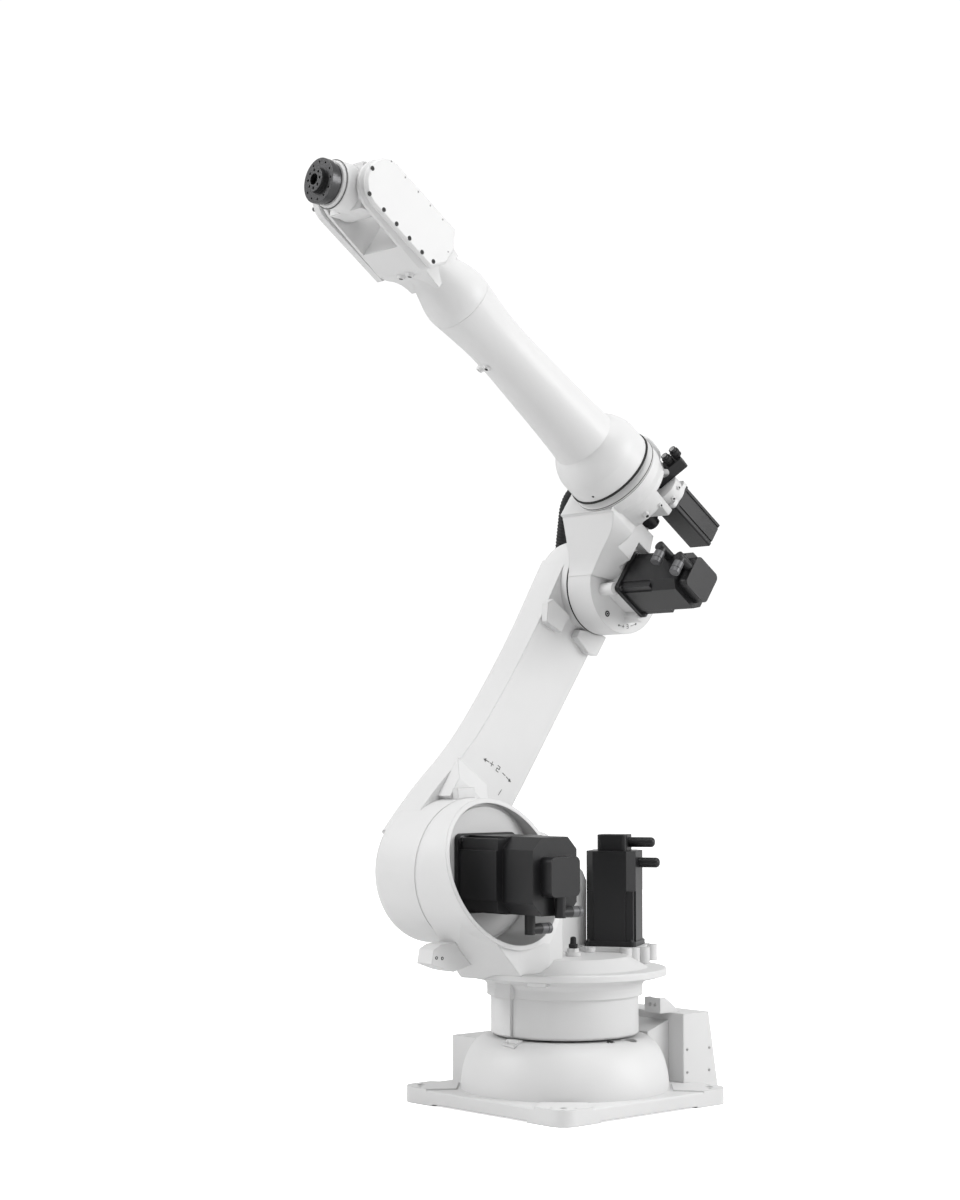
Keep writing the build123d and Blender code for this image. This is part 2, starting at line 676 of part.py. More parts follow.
# Elbow casting: hub at joint 3, curved front web and the body round axis 4
with BuildPart() as elbow_casting:
    with BuildSketch(forearm_plane(casting_front_y)):
        with BuildLine():
            Polyline(
                (0.91 * elbow_hub_r, -elbow_rise - 0.43 * elbow_hub_r), (0, -elbow_rise),
                (34, 95 - elbow_rise), (53, -9), (60, 40), (ring_x, 40), (ring_x, -ring_r),
                (ring_x - 9, -ring_r))
            Spline(
                (ring_x - 9, -ring_r), (ring_x - 60, 10 - elbow_rise),
                (0.91 * elbow_hub_r, -elbow_rise - 0.43 * elbow_hub_r),
                tangents=((-0.75, -0.66), (-0.35, -0.94)))
        make_face()
    extrude(amount=casting_front_y - elbow_inner_y)
    with BuildSketch(across_forearm(-elbow_hub_r)):
        with BuildLine():
            Spline(
                (casting_front_y, -ring_r), (-6, -elbow_rise), (elbow_outer_y, -elbow_rise - 57),
                tangents=((-0.25, -1), (-0.3, -0.95)))
            Polyline(
                (elbow_outer_y, -elbow_rise - 57), (elbow_outer_y, -3 * elbow_rise),
                (2 * ring_r, -3 * elbow_rise), (2 * ring_r, -ring_r), (casting_front_y, -ring_r))
        make_face()
    extrude(amount=ring_x + 2 * elbow_hub_r, mode=Mode.SUBTRACT)
    with BuildSketch(forearm_plane(2 * casting_front_y)):
        with Locations((0.5 * j3_flange + 12, 0.5 * j3_flange + 12 - elbow_rise)):
            Rectangle(4 * j3_flange, 4 * j3_flange, align=(Align.MAX, Align.MAX))
    extrude(amount=2 * casting_front_y - motor3_y + joint_gap, mode=Mode.SUBTRACT)
    with BuildSketch(forearm_plane(elbow_outer_y)):
        with Locations((0, -elbow_rise)):
            Circle(elbow_hub_r)
    extrude(amount=elbow_hub_width)
    with BuildSketch(forearm_plane(0)):
        with BuildLine():
            Polyline(
                (55, 0), (55, body_r - 34), (80, body_r - 6), (ring_x - 40, body_r),
                (ring_x - 24, ring_r - 2), (ring_x, ring_r - 2), (ring_x, 0), close=True)
        make_face()
    revolve(axis=forearm_axis)
    with BuildSketch(across_forearm(j4_motor_x)):
        with Locations((motor3_y, motor3_y - elbow_rise + j3_flange)):
            Rectangle(3 * ring_r, 3 * ring_r, align=(Align.MIN, Align.MIN))
    extrude(amount=-j4_motor_x, mode=Mode.SUBTRACT)
    with BuildSketch(across_forearm(j4_motor_x + 36)):
        with Locations((18, -32)):
            Rectangle(2 * ring_r, 2 * ring_r, align=(Align.MIN, Align.MAX))
    extrude(amount=-2 * j4_motor_x, mode=Mode.SUBTRACT)
    with BuildSketch(across_forearm(j4_motor_x)):
        with Locations((42, -16)):
            Rectangle(ring_r, ring_r, align=(Align.MIN, Align.MIN))
    extrude(amount=72, mode=Mode.SUBTRACT)
    with BuildSketch(across_forearm(j4_motor_x)):
        with Locations((j4_motor_y, j4_motor_rise)):
            Circle(gear_housing_r)
    extrude(amount=40)
    with BuildSketch(across_forearm(j4_motor_x)):
        with Locations((j4_motor_y, j4_motor_rise)):
            RectangleRounded(j4_flange + 4, j4_flange + 4, 8)
    extrude(amount=12)
    with BuildSketch(forearm_plane(motor3_y)):
        with Locations((0, -elbow_rise)):
            RectangleRounded(j3_flange - 14, j3_flange - 14, 10)
            with GridLocations(0.9 * j3_flange, 0.9 * j3_flange, 2, 2):
                Circle(0.13 * j3_flange)
    extrude(amount=pad_height)
elbow_casting.part.label = "elbow_casting"

j3_seat = Plane(
    origin=(elbow_x, motor3_y, elbow_z), x_dir=(cos(tilt), 0, sin(tilt)), z_dir=(0, 1, 0))
j3_motor, j3_encoder = servo_motor(j3_seat, j3_flange, j3_body, j3_body_length, j3_cap, j3_cap_length)
j3_motor.label = "j3_motor"
j3_encoder.label = "j3_encoder"
j3_motor_plugs = motor_plugs(
    [along_forearm(j3_body / 2, motor3_y + 0.72 * j3_body_length, 32 - elbow_rise),
     along_forearm(j3_cap / 2, motor3_y + j3_body_length + j3_cap_length / 2, 6 - elbow_rise)],
    (cos(tilt), 0, sin(tilt)), (sin(tilt), 0, -cos(tilt)), 44, 42)
j3_motor_plugs.label = "j3_motor_plugs"

j4_seat = Plane(
    origin=along_forearm(j4_motor_x - seat_gap, j4_motor_y, j4_motor_rise), x_dir=(0, 1, 0),
    z_dir=(-cos(tilt), 0, -sin(tilt)))
with BuildPart() as j4_motor:
    with BuildSketch(j4_seat):
        RectangleRounded(j4_flange, j4_flange, 6)
    extrude(amount=8)
    with BuildSketch(j4_seat.offset(8)):
        RectangleRounded(j4_body, j4_body, 4)
        with GridLocations(j4_body, 0.66 * j4_body, 2, 2):
            Rectangle(5, 5, mode=Mode.SUBTRACT)
    extrude(amount=j4_body_length)
j4_motor.part.label = "j4_motor"

# Black block with two cable connectors beside the casting
with BuildPart() as connector_block:
    with BuildSketch(across_forearm(j4_motor_x + 40)):
        with Locations((84, 64)):
            RectangleRounded(88, 38, 5, rotation=49)
    extrude(amount=30)
    with BuildSketch(across_forearm(j4_motor_x + 70)):
        with Locations((95, 76), (110, 95)):
            Circle(9)
    extrude(amount=24)
    add(elbow_casting.part, mode=Mode.SUBTRACT)
connector_block.part.label = "connector_block"

# Gland behind the casting where the cables of the wrist go in along axis 4
with BuildPart() as axis4_gland:
    with BuildSketch(across_forearm(j4_motor_x)):
        with Locations((10, -21)):
            Circle(22)
    extrude(amount=-24)
    with BuildSketch(across_forearm(j4_motor_x - 24)):
        with Locations((10, -21)):
            Circle(17)
    extrude(amount=-14)
    add(elbow_casting.part, mode=Mode.SUBTRACT)
axis4_gland.part.label = "axis4_gland"

gland_height = 12.0

# Hose on the -Y side: it leaves the boss on the axis of joint 3 and enters the casting beside axis 4
with BuildPart() as hose_gland:
    with BuildSketch(side(beam_outer_y - seat_gap)):
        with Locations((elbow_x, elbow_z)):
            RegularPolygon(hose_r + 10, 6)
    extrude(amount=gland_height - 4)
    with BuildSketch(side(beam_outer_y - seat_gap)):
        with Locations((elbow_x, elbow_z)):
            Circle(hose_r + 3)
    extrude(amount=gland_height)
hose_gland.part.label = "hose_gland"

hose_points = [
    Vector(elbow_x, beam_outer_y - 2 * seat_gap - gland_height, elbow_z),
    Vector(elbow_x, hose_y - 6, elbow_z), Vector(elbow_x - 12, hose_y - 28, elbow_z + 20),
    Vector(elbow_x - 36, hose_y - 22, elbow_z + 78), Vector(elbow_x - 33, hose_y - 8, elbow_z + 160),
    Vector(elbow_x - 16, hose_y + 22, elbow_z + 233), Vector(elbow_x - 14, hose_y + 90, elbow_z + 268),
    Vector(elbow_x - 22, hose_y + 152, elbow_z + 268), Vector(elbow_x - 22, hose_end_y, elbow_z + 268)]


def arc_radii(points):
    """Radius at each corner of a route: 0.45 of the shorter run over the tangent of half the turn."""
    radii = []
    for before, at, after in zip(points, points[1:], points[2:]):
        run = min((at - before).length, (after - at).length)
        turn = radians((at - before).get_angle(after - at))
        radii.append(0.45 * run / tan(turn / 2))
    return radii


hose_radii = arc_radii(hose_points)
with BuildPart() as elbow_hose:
    with BuildLine() as hose_route:
        FilletPolyline(*hose_points, radius=hose_radii)
    with BuildSketch(Plane(origin=hose_points[0], z_dir=hose_points[1] - hose_points[0])):
        Circle(hose_r)
    sweep()
elbow_hose.part.label = "elbow_hose"
hose_length = sum(edge.length for edge in hose_route.edges())
hose_share = elbow_hose.part.volume / (pi * hose_r ** 2 * hose_length)
print("hose radii", [round(radius) for radius in hose_radii])
print("hose length", round(hose_length), "volume share", round(hose_share, 4))

# Collar of the hose on the casting
with BuildPart() as hose_collar:
    with BuildSketch(side(-0.5 * ring_r)):
        with Locations((hose_points[-1].X, hose_points[-1].Z)):
            Circle(hose_r + 6)
    extrude(amount=-hose_end_y - seat_gap - 0.5 * ring_r)
    add(elbow_casting.part, mode=Mode.SUBTRACT)
hose_collar.part.label = "hose_collar"

# Bearing ring of axis 4
with BuildPart() as j4_ring:
    with BuildSketch(forearm_plane(0)):
        with BuildLine():
            Polyline(
                (ring_x, 0), (ring_x, ring_r - 7), (ring_x + 3, ring_r), (ring_x + 7, ring_r),
                (ring_x + ring_height - 3, ring_r - 18), (ring_x + ring_height, ring_r - 20),
                (ring_x + ring_height, 0), close=True)
        make_face()
    revolve(axis=forearm_axis)
j4_ring.part.label = "j4_ring"

# Forearm tube, turned about axis 4
tube_start = ring_x + ring_height + seat_gap
tube_end = forearm_length - wrist_casting
taper_start = tube_start + flange_width + shoulder_fall
taper = tube_end - taper_start
with BuildPart() as forearm_tube:
    with BuildSketch(forearm_plane(0)):
        with BuildLine():
            Polyline(
                (tube_start, 0), (tube_start, flange_r - 4), (tube_start + 4, flange_r),
                (tube_start + flange_width, flange_r))
            ThreePointArc(
                (tube_start + flange_width, flange_r),
                (tube_start + flange_width + 0.62 * shoulder_fall, 0.9 * flange_r),
                (taper_start, tube_rear_r))
            Spline(
                (taper_start, tube_rear_r), (taper_start + 0.18 * taper, tube_taper_r),
                (taper_start + 0.44 * taper, tube_mid_r), (taper_start + 0.78 * taper, waist_r),
                (taper_start + 0.93 * taper, waist_r + 6.5), (tube_end, bell_r))
            Line((tube_end, bell_r), (tube_end, 0))
            Line((tube_end, 0), (tube_start, 0))
        make_face()
    revolve(axis=forearm_axis)
forearm_tube.part.label = "forearm_tube"

# Wrist fork: neck, flare, two cheeks and an open pocket for the hand
flare_start = forearm_length - fork_flare - 0.53 * fork_flare
flare_end = forearm_length - fork_flare
flare_middle = flare_start + 0.55 * (flare_end - flare_start)
cheek = forearm_length - flare_end
fork_slope = acos(fork_r / hypot(fork_half_height, cheek)) - atan2(cheek, fork_half_height)
fork_front_x = forearm_length + fork_r * sin(fork_slope)
fork_front = fork_r * cos(fork_slope)
with BuildPart() as wrist_fork:
    with BuildSketch(forearm_plane(fork_half_width)):
        with BuildLine():
            Spline(
                (flare_start, neck_r - 8), (flare_middle, 0.8 * fork_half_height),
                (flare_end, fork_half_height), tangents=((1, 0.04), (1, -fork_slope)))
            Line((flare_end, fork_half_height), (fork_front_x, fork_front))
            ThreePointArc(
                (fork_front_x, fork_front), (forearm_length + fork_r, 0), (fork_front_x, -fork_front))
            Line((fork_front_x, -fork_front), (flare_end, -fork_half_height))
            Spline(
                (flare_end, -fork_half_height), (flare_middle, -0.8 * fork_half_height),
                (flare_start, 8 - neck_r), tangents=((-1, -fork_slope), (-1, 0.04)))
            Line((flare_start, 8 - neck_r), (flare_start, neck_r - 8))
        make_face()
    extrude(amount=2 * fork_half_width)
    chamfer(wrist_fork.faces().sort_by(Axis.Y)[0].edges(), length=fork_chamfer)
    chamfer(wrist_fork.faces().sort_by(Axis.Y)[-1].edges(), length=fork_chamfer)
    with BuildSketch(Plane(
            origin=along_forearm(0, 0, -2 * fork_half_height), x_dir=(cos(tilt), 0, sin(tilt)),
            z_dir=(-sin(tilt), 0, cos(tilt)))):
        with BuildLine():
            Spline(
                (flare_start, neck_r - 10), (flare_middle, 0.76 * fork_half_width),
                (flare_end, fork_half_width), tangents=((1, 0.04), (1, 0)))
            Polyline(
                (flare_end, fork_half_width), (forearm_length + 2 * fork_r, fork_half_width),
                (forearm_length + 2 * fork_r, -fork_half_width), (flare_end, -fork_half_width))
            Spline(
                (flare_end, -fork_half_width), (flare_middle, -0.76 * fork_half_width),
                (flare_start, 10 - neck_r), tangents=((-1, 0), (-1, 0.04)))
            Line((flare_start, 10 - neck_r), (flare_start, neck_r - 10))
        make_face()
    extrude(amount=4 * fork_half_height, mode=Mode.INTERSECT)
    with BuildSketch(forearm_plane(0)):
        with BuildLine():
            Spline(
                (tube_end, bell_r), (tube_end + 0.12 * wrist_casting, bell_r - 2),
                (tube_end + 0.2 * wrist_casting, neck_r + 9), (tube_end + 0.29 * wrist_casting, neck_r),
                (tube_end + 0.4 * wrist_casting, neck_r - 2))
            Polyline(
                (tube_end + 0.4 * wrist_casting, neck_r - 2), (tube_end + 0.4 * wrist_casting, 0),
                (tube_end, 0),
                (tube_end, bell_r))
        make_face()
    revolve(axis=forearm_axis)
    with BuildSketch(forearm_plane(fork_gap_half)):
        with Locations((forearm_length - pocket_depth, 0)):
            RectangleRounded(
                2 * pocket_depth + 2 * fork_r, 4 * fork_half_height, pocket_round,
                align=(Align.MIN, Align.CENTER))
    extrude(amount=2 * fork_gap_half, mode=Mode.SUBTRACT)
wrist_fork.part.label = "wrist_fork"


def fork_cover(plane, thickness):
    """Cover plate on a cheek of the fork; the normal of plane points out of the cheek."""
    with BuildPart() as cover:
        with BuildSketch(plane):
            with BuildLine():
                Polyline(
                    (forearm_length, cover_half_height),
                    (forearm_length - cover_rear + 30, cover_half_height),
                    (forearm_length - cover_rear, 0.35 * cover_half_height),
                    (forearm_length - cover_rear, -0.3 * cover_half_height),
                    (forearm_length - cover_rear + 24, -cover_half_height),
                    (forearm_length, -cover_half_height),
                    close=True)
            make_face()
            with Locations((forearm_length, 0)):
                Circle(cover_half_height)
        extrude(amount=thickness)
        outer_face = cover.faces().sort_by(Axis(plane.origin, plane.z_dir))[-1]
        chamfer(outer_face.edges(), length=0.5 * cover_thickness)
    return cover.part


near_face = Plane(origin=along_forearm(0, fork_half_width), x_dir=(cos(tilt), 0, sin(tilt)), z_dir=(0, 1, 0))
cover_left = fork_cover(near_face, cover_thickness)
cover_left.label = "cover_left"
cover_right = fork_cover(forearm_plane(-fork_half_width), far_cover_thickness)
cover_right.label = "cover_right"

# Hand: the housing between the cheeks, with the joint 6 ring in front
with BuildPart() as wrist_housing:
    with BuildSketch(hand_plane(hand_half_width)):
        Circle(hand_r)
        with Locations((hand_r * 0.4, 0)):
            Rectangle(hand_r * 0.8, 2 * hand_r - 4)
    extrude(amount=2 * hand_half_width)
    with BuildSketch(hand_plane(0)):
        with BuildLine():
            Polyline(
                (0, 0), (0, hand_r), (j6_x - 24, hand_r), (j6_x - 4, hand_r), (j6_x, hand_r - 3), (j6_x, 0),
                close=True)
        make_face()
    revolve(axis=Axis(along_hand(0), (cos(hand), 0, sin(hand))))
    with BuildSketch(hand_plane(fork_gap_half - seat_gap)):
        Circle(trunnion_r)
    extrude(amount=2 * (fork_gap_half - seat_gap))
wrist_housing.part.label = "wrist_housing"

with BuildPart() as j6_ring:
    with BuildSketch(across_hand(j6_x)):
        Circle(hand_r - 2)
    extrude(amount=j6_ring_width)
    chamfer(j6_ring.faces().sort_by(Axis.X)[-1].edges(), length=3)
j6_ring.part.label = "j6_ring"

# Tool flange: neck, disc with a ring of holes, and a hub with the bolt circle and bore
tool_start = j6_x + j6_ring_width + seat_gap
tool_disc_x = hand_length - tool_hub_width - tool_disc_width
with BuildPart() as tool_flange:
    with BuildSketch(across_hand(tool_start)):
        Circle(tool_neck_r)
    extrude(amount=tool_disc_x - tool_start)
    with BuildSketch(across_hand(tool_disc_x)):
        Circle(tool_r)
    extrude(amount=tool_disc_width)
    with BuildSketch(across_hand(hand_length - tool_hub_width)):
        Circle(tool_hub_r)
    extrude(amount=tool_hub_width)
    with BuildSketch(across_hand(hand_length)):
        Circle(tool_bore_r)
    extrude(amount=-tool_bore_depth, mode=Mode.SUBTRACT)
    with BuildSketch(across_hand(hand_length)):
        with PolarLocations(tool_bolt_pcd / 2, 8):
            Circle(tool_bolt_r)
    extrude(amount=-tool_hub_width, mode=Mode.SUBTRACT)
    with BuildSketch(across_hand(hand_length - tool_hub_width)):
        with PolarLocations(0.83 * tool_r, 12):
            Circle(rim_hole_r)
    extrude(amount=-tool_disc_width / 2, mode=Mode.SUBTRACT)
tool_flange.part.label = "tool_flange"

os.makedirs("parts", exist_ok=True)
pieces = [
    base_casting.part, connector_box.part, connector_panel.part, cable_bracket.part, zero_block.part,
    j1_reducer.part, turntable.part, pointer_strip.part, shoulder_housing.part, shoulder_plate.part,
    stop_bumper.part, cable_gland.part, j2_motor, j2_encoder, j2_motor_plugs, j1_motor_mount.part, j1_motor,
    j1_encoder, j1_motor_plugs.part, j2_reducer.part, lower_arm_casting.part, shoulder_stop_tab.part,
    stop_blocks.part, j3_reducer.part, elbow_casting.part, j3_motor, j3_encoder, j3_motor_plugs,
    j4_motor.part, connector_block.part, axis4_gland.part, hose_gland.part, elbow_hose.part,
    hose_collar.part, j4_ring.part, forearm_tube.part, wrist_fork.part,
    cover_left, cover_right, wrist_housing.part, j6_ring.part, tool_flange.part,
]
for piece in pieces:
    export_step(piece, "parts/" + piece.label + ".step")
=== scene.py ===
import json
import math

import bmesh
import bpy
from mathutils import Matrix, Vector


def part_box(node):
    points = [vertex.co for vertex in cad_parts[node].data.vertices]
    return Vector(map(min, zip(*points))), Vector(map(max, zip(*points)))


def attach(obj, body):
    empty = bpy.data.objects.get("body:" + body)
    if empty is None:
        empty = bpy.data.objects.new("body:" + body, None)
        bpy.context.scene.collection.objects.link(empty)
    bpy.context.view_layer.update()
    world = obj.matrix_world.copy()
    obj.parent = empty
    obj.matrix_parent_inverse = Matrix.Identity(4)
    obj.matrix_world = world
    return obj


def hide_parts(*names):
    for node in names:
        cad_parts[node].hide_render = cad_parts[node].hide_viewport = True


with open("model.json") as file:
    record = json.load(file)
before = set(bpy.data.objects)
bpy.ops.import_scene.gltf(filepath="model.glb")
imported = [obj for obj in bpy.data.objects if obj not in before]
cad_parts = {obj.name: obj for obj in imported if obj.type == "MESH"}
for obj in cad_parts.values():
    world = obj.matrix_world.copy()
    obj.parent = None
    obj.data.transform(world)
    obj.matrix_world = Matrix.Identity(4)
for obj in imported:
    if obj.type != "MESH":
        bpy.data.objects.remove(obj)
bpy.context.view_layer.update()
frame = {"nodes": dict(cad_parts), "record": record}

scene = bpy.context.scene
nodes = frame["nodes"]

# Camera, fitted to the base plate, the drum and the seams of the forearm
CAMERA_AT = (3.7209, 3.7923, 0.8013)
CAMERA_HEADING = 227.66
CAMERA_RISE = 3.897
FOCAL_PX = 2268.3
IMAGE_HEIGHT_PX = 1200.0
SENSOR_MM = 36.0

camera_data = bpy.data.cameras.new("camera")
camera_data.sensor_fit = "VERTICAL"
camera_data.sensor_height = SENSOR_MM
camera_data.lens = FOCAL_PX / IMAGE_HEIGHT_PX * SENSOR_MM
camera_data.clip_end = 100.0
camera = bpy.data.objects.new("camera", camera_data)
camera.location = CAMERA_AT
camera.rotation_euler = (math.radians(90 + CAMERA_RISE), 0, math.radians(CAMERA_HEADING - 90))
scene.collection.objects.link(camera)
scene.camera = camera

# Places of the arm's own axes, in millimetres as in the part's source
TILT = math.radians(35.0)
HAND_TILT = math.radians(4.0)
AXIS4_START = Vector((-351.282, 0, 1349.875))
WRIST = Vector((615.317, 0, 2026.696))
ELBOW = Vector((-254.921, 0, 1212.258))
SHOULDER = Vector((220.0, 0, 534.0))
ALONG = Vector((math.cos(TILT), 0, math.sin(TILT)))
UP = Vector((-math.sin(TILT), 0, math.cos(TILT)))
HAND = Vector((math.cos(HAND_TILT), 0, math.sin(HAND_TILT)))
HAND_UP = Vector((-math.sin(HAND_TILT), 0, math.cos(HAND_TILT)))
SIDE = Vector((0, 1, 0))
FRONT = Vector((1, 0, 0))
TOP = Vector((0, 0, 1))


def fore(x, y=0.0, rise=0.0):
    """Point at x along axis 4, y across it and rise above it."""
    return AXIS4_START + ALONG * x + SIDE * y + UP * rise


def hand(x, y=0.0, rise=0.0):
    """Point at x along axis 6."""
    return WRIST + HAND * x + SIDE * y + HAND_UP * rise


def area_light(name, at, target, size, power):
    """Square soft light at a point, turned to a target."""
    data = bpy.data.lights.new(name, "AREA")
    data.shape = "SQUARE"
    data.size = size
    data.energy = power
    light = bpy.data.objects.new(name, data)
    light.location = at
    light.rotation_euler = (Vector(target) - Vector(at)).to_track_quat("-Z", "Y").to_euler()
    scene.collection.objects.link(light)


# Places and sizes in metres, power in watts
area_light("key_light", (-5.0, 7.9, 3.6), (0, 0, 0.6), 4.8, 505)
area_light("top_light", (0.4, 2.4, 9.4), (0, 0, 0.3), 6.0, 440)
area_light("left_light", (7.4, -4.0, 6.4), (0, 0, 0.5), 4.0, 490)

# White room: plain white where the camera sees it; as light it is dimmest from the camera's side
ROOM_SEEN = 1.05
ROOM_LIGHT = 0.74
ROOM_LIGHT_CAMERA_SIDE = 0.42
CAMERA_SIDE = (0.67, 0.74, 0.0)
# Inputs of a mix node that mixes plain numbers
MIX_FACTOR, MIX_A, MIX_B = 0, 2, 3

world = bpy.data.worlds.new("studio")
world.use_nodes = True
world_tree = world.node_tree
background = world_tree.nodes["Background"]
background.inputs["Color"].default_value = (1, 1, 1, 1)
room = world_tree.nodes.new("ShaderNodeTexCoord")
frontal = world_tree.nodes.new("ShaderNodeVectorMath")
frontal.operation = "DOT_PRODUCT"
frontal.inputs[1].default_value = CAMERA_SIDE
dimming = world_tree.nodes.new("ShaderNodeMapRange")
dimming.inputs["From Min"].default_value = 0.1
dimming.inputs["From Max"].default_value = 0.95
dimming.inputs["To Min"].default_value = ROOM_LIGHT
dimming.inputs["To Max"].default_value = ROOM_LIGHT_CAMERA_SIDE
light_path = world_tree.nodes.new("ShaderNodeLightPath")
strength = world_tree.nodes.new("ShaderNodeMix")
strength.data_type = "FLOAT"
strength.inputs[MIX_B].default_value = ROOM_SEEN
world_tree.links.new(room.outputs["Generated"], frontal.inputs[0])
world_tree.links.new(frontal.outputs["Value"], dimming.inputs["Value"])
world_tree.links.new(light_path.outputs["Is Camera Ray"], strength.inputs[MIX_FACTOR])
world_tree.links.new(dimming.outputs["Result"], strength.inputs[MIX_A])
world_tree.links.new(strength.outputs[0], background.inputs["Strength"])
scene.world = world
scene.view_settings.view_transform = "Standard"

# Floor, in metres
FLOOR_HALF = 30
FLOOR_GLOW = 0.75
floor_mesh = bpy.data.meshes.new("floor")
floor_mesh.from_pydata([
    (-FLOOR_HALF, -FLOOR_HALF, 0), (FLOOR_HALF, -FLOOR_HALF, 0), (FLOOR_HALF, FLOOR_HALF, 0),
    (-FLOOR_HALF, FLOOR_HALF, 0)], [], [(0, 1, 2, 3)])
floor = bpy.data.objects.new("floor", floor_mesh)
scene.collection.objects.link(floor)

# Materials
COAT_ROUGHNESS = 0.25
SLOW_SCALE = 4.0
SLOW_RAMP = (0.3, 0.65)


def new_material(name, color, roughness, metallic=0.0, bump=0.0, scale=300.0, variation=0.0, coat=0.0,
                 edge=0.0, specular=0.5, depth=0.0005):
    """Principled material with softened edges, fine bump and slow colour variation."""
    material = bpy.data.materials.new(name)
    material.use_nodes = True
    tree = material.node_tree
    shader = tree.nodes["Principled BSDF"]
    shader.inputs["Roughness"].default_value = roughness
    shader.inputs["Metallic"].default_value = metallic
    shader.inputs["Specular IOR Level"].default_value = specular
    shader.inputs["Coat Weight"].default_value = coat
    shader.inputs["Coat Roughness"].default_value = COAT_ROUGHNESS
    place = tree.nodes.new("ShaderNodeTexCoord")
    if variation:
        slow = tree.nodes.new("ShaderNodeTexNoise")
        slow.inputs["Scale"].default_value = SLOW_SCALE
        slow.inputs["Detail"].default_value = 4.0
        ramp = tree.nodes.new("ShaderNodeValToRGB")
        ramp.color_ramp.elements[0].position = SLOW_RAMP[0]
        ramp.color_ramp.elements[1].position = SLOW_RAMP[1]
        low = [c * (1 - variation) for c in color]
        ramp.color_ramp.elements[0].color = (*low, 1)
        ramp.color_ramp.elements[1].color = (*color, 1)
        tree.links.new(place.outputs["Object"], slow.inputs["Vector"])
        tree.links.new(slow.outputs["Fac"], ramp.inputs["Fac"])
        tree.links.new(ramp.outputs["Color"], shader.inputs["Base Color"])
    else:
        shader.inputs["Base Color"].default_value = (*color, 1)
    bevel = None
    if edge:
        bevel = tree.nodes.new("ShaderNodeBevel")
        bevel.samples = 4
        bevel.inputs["Radius"].default_value = edge
        tree.links.new(bevel.outputs["Normal"], shader.inputs["Normal"])
    if bump:
        fine = tree.nodes.new("ShaderNodeTexNoise")
        fine.inputs["Scale"].default_value = scale
        fine.inputs["Detail"].default_value = 2.0
        node = tree.nodes.new("ShaderNodeBump")
        node.inputs["Strength"].default_value = bump
        node.inputs["Distance"].default_value = depth
        tree.links.new(place.outputs["Object"], fine.inputs["Vector"])
        tree.links.new(fine.outputs["Fac"], node.inputs["Height"])
        if bevel:
            tree.links.new(bevel.outputs["Normal"], node.inputs["Normal"])
        tree.links.new(node.outputs["Normal"], shader.inputs["Normal"])
    return material


# The floor glows where the camera sees it, so that it is as white as the room
floor_material = new_material("floor_white", (0.74, 0.74, 0.74), 0.9, specular=0.1)
floor_tree = floor_material.node_tree
floor_shader = floor_tree.nodes["Principled BSDF"]
floor_shader.inputs["Emission Color"].default_value = (1, 1, 1, 1)
floor_seen = floor_tree.nodes.new("ShaderNodeLightPath")
floor_glow = floor_tree.nodes.new("ShaderNodeMath")
floor_glow.operation = "MULTIPLY"
floor_glow.inputs[1].default_value = FLOOR_GLOW
floor_tree.links.new(floor_seen.outputs["Is Camera Ray"], floor_glow.inputs[0])
floor_tree.links.new(floor_glow.outputs["Value"], floor_shader.inputs["Emission Strength"])
floor_mesh.materials.append(floor_material)

white_iron = new_material("white_iron", (0.60, 0.60, 0.60), 0.5, bump=0.3, scale=260, variation=0.04,
                          edge=0.004, coat=0.05, depth=0.0004)
white_aluminium = new_material("white_aluminium", (0.60, 0.60, 0.60), 0.45, bump=0.12, scale=420,
                               variation=0.03, edge=0.003, coat=0.05, depth=0.0004)
motor_black = new_material("motor_black", (0.012, 0.012, 0.013), 0.36, bump=0.15, scale=600, variation=0.2,
                           edge=0.0015, specular=0.34)
dark_steel = new_material("dark_steel", (0.072, 0.072, 0.074), 0.32, metallic=0.85, bump=0.08, scale=900,
                          variation=0.15, edge=0.001)
bright_steel = new_material("bright_steel", (0.42, 0.42, 0.42), 0.3, metallic=0.9, bump=0.05, scale=900,
                            variation=0.1, edge=0.0005)
black_rubber = new_material("black_rubber", (0.014, 0.014, 0.015), 0.6, bump=0.3, scale=900, variation=0.2,
                            specular=0.3)
mark_grey = new_material("mark_grey", (0.10, 0.10, 0.10), 0.7, bump=0.1, scale=900, variation=0.2)
# Near-black for seams, rims and marks, and also for painted shade: the dark discs in holes and sockets and
# the dark rings flush in the joint gaps of axes 3 and 4
dark_marks_and_shade = new_material("dark_marks_and_shade", (0.03, 0.03, 0.03), 0.8, bump=0.1, scale=600, variation=0.2,
                         specular=0.2)
plug_steel = new_material("plug_steel", (0.11, 0.11, 0.114), 0.42, metallic=0.5, bump=0.05, scale=900,
                          variation=0.1, edge=0.0005)
black_screw = new_material("black_screw", (0.02, 0.02, 0.02), 0.5, bump=0.1, scale=900, variation=0.2)

finishes = {"white_iron": white_iron, "white_aluminium": white_aluminium,
            "motor_black": motor_black, "dark_steel": dark_steel}
for subpart in frame["record"]["subparts"]:
    node = nodes[subpart["node"]]
    node.data.materials.clear()
    node.data.materials.append(finishes[subpart["material_slot"]])

# Small forms
SHARP_ANGLE = math.radians(38)
BEVEL_ANGLE = math.radians(40)


